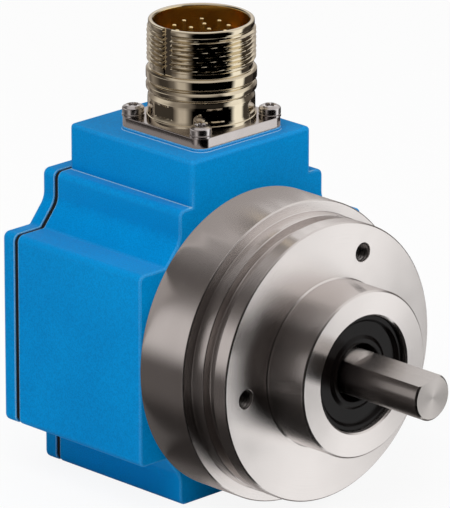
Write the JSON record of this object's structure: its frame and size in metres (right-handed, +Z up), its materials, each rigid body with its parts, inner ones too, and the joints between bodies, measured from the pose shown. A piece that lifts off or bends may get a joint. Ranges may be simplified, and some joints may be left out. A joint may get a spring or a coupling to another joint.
{
  "type": "servo motor encoder",
  "caption": "Rotary encoder with a face-mount clamp flange, pilot collar and flatted shaft, a cross-shaped housing with rear cover, and a threaded round receptacle on top.",
  "frame": {"origin": "centre of the flange's front mounting face, on the shaft axis", "axes": "+X along the shaft, out of the flange; +Z up, through the connector"},
  "size_m": [0.0944, 0.065, 0.0992],
  "materials": {
    "blue_paint": "satin orange-peel paint",
    "turned_aluminium": "finely turned, bare",
    "ground_steel": "ground",
    "bearing_steel": "polished",
    "pressed_steel": "rolled sheet",
    "seal_rubber": "moulded, oily sheen",
    "gasket_rubber": "matt",
    "connector_nickel": "nickel plated, turned",
    "plate_nickel": "nickel plated, satin",
    "screw_steel": "bright",
    "insert_plastic": "moulded",
    "contact_gold": "gold plated",
    "disc_glass": "clear with fine tracks",
    "hub_aluminium": "turned",
    "gear_plastic": "moulded",
    "pinion_brass": "cut",
    "magnet": "plated",
    "board_green": "board with solder mask",
    "chip_black": "moulded",
    "lead_film": "film"
  },
  "bodies": {
    "stator": {"bearing_spacer": "pressed_steel", "board_components": "chip_black", "board_spacers": "pressed_steel", "connector_board": "board_green", "connector_insert": "insert_plastic", "connector_plate": "plate_nickel", "connector_screws": "screw_steel", "connector_seal": "gasket_rubber", "connector_shell": "connector_nickel", "connector_washers": "screw_steel", "contact_pins": "contact_gold", "cover_gasket": "gasket_rubber", "cover_screws": "screw_steel", "flange_ring": "gasket_rubber", "flange_screws": "screw_steel", "flexible_lead": "lead_film", "front_bearing_outer_ring": "bearing_steel", "front_bearing_shields": "pressed_steel", "front_gear_plate": "hub_aluminium", "gear_axles": "pressed_steel", "gear_pillars": "pressed_steel", "housing_body": "blue_paint", "insert_ring": "plate_nickel", "light_source": "chip_black", "main_board": "board_green", "mounting_flange": "turned_aluminium", "plate_spacers": "pressed_steel", "preload_washer": "pressed_steel", "rear_bearing_outer_ring": "bearing_steel", "rear_bearing_shields": "pressed_steel", "rear_cover": "blue_paint", "rear_gear_plate": "hub_aluminium", "retaining_ring": "pressed_steel", "seal_spring": "pressed_steel", "sensor_board": "board_green", "sensor_chip": "chip_black", "sensor_spacers": "pressed_steel", "shaft_seal": "seal_rubber", "stack_screws": "screw_steel"},
    "rotor": {"shaft": "ground_steel", "front_bearing_inner_ring": "bearing_steel", "rear_bearing_inner_ring": "bearing_steel", "shaft_circlip": "pressed_steel", "disc_hub": "hub_aluminium", "hub_set_screw": "screw_steel", "code_disc": "disc_glass", "disc_clamp_ring": "hub_aluminium", "drive_pinion": "pinion_brass"},
    "front_ball_set": {"front_bearing_balls": "bearing_steel", "front_bearing_cage": "pressed_steel"},
    "rear_ball_set": {"rear_bearing_balls": "bearing_steel", "rear_bearing_cage": "pressed_steel"},
    "first_gear": {"first_turns_gear": "gear_plastic"},
    "second_gear": {"second_turns_gear": "gear_plastic", "turns_magnet": "magnet"}
  },
  "joints": [
    {"name": "shaft_spin", "type": "hinge", "parent": "stator", "child": "rotor", "pos_m": [0, 0, 0], "axis": [1, 0, 0], "continuous": true},
    {"name": "front_balls_spin", "type": "hinge", "parent": "stator", "child": "front_ball_set", "pos_m": [0, 0, 0], "axis": [1, 0, 0], "continuous": true},
    {"name": "rear_balls_spin", "type": "hinge", "parent": "stator", "child": "rear_ball_set", "pos_m": [0, 0, 0], "axis": [1, 0, 0], "continuous": true},
    {"name": "first_gear_spin", "type": "hinge", "parent": "stator", "child": "first_gear", "pos_m": [0, 0.0144, 0], "axis": [1, 0, 0], "continuous": true},
    {"name": "second_gear_spin", "type": "hinge", "parent": "stator", "child": "second_gear", "pos_m": [0, 0.0072, 0.01247], "axis": [1, 0, 0], "continuous": true}
  ],
  "couplings": [
    {"joint": "front_balls_spin", "follows": "shaft_spin", "ratio": 0.36772},
    {"joint": "rear_balls_spin", "follows": "shaft_spin", "ratio": 0.36772},
    {"joint": "first_gear_spin", "follows": "shaft_spin", "ratio": -0.33333},
    {"joint": "second_gear_spin", "follows": "shaft_spin", "ratio": 0.11111}
  ]
}
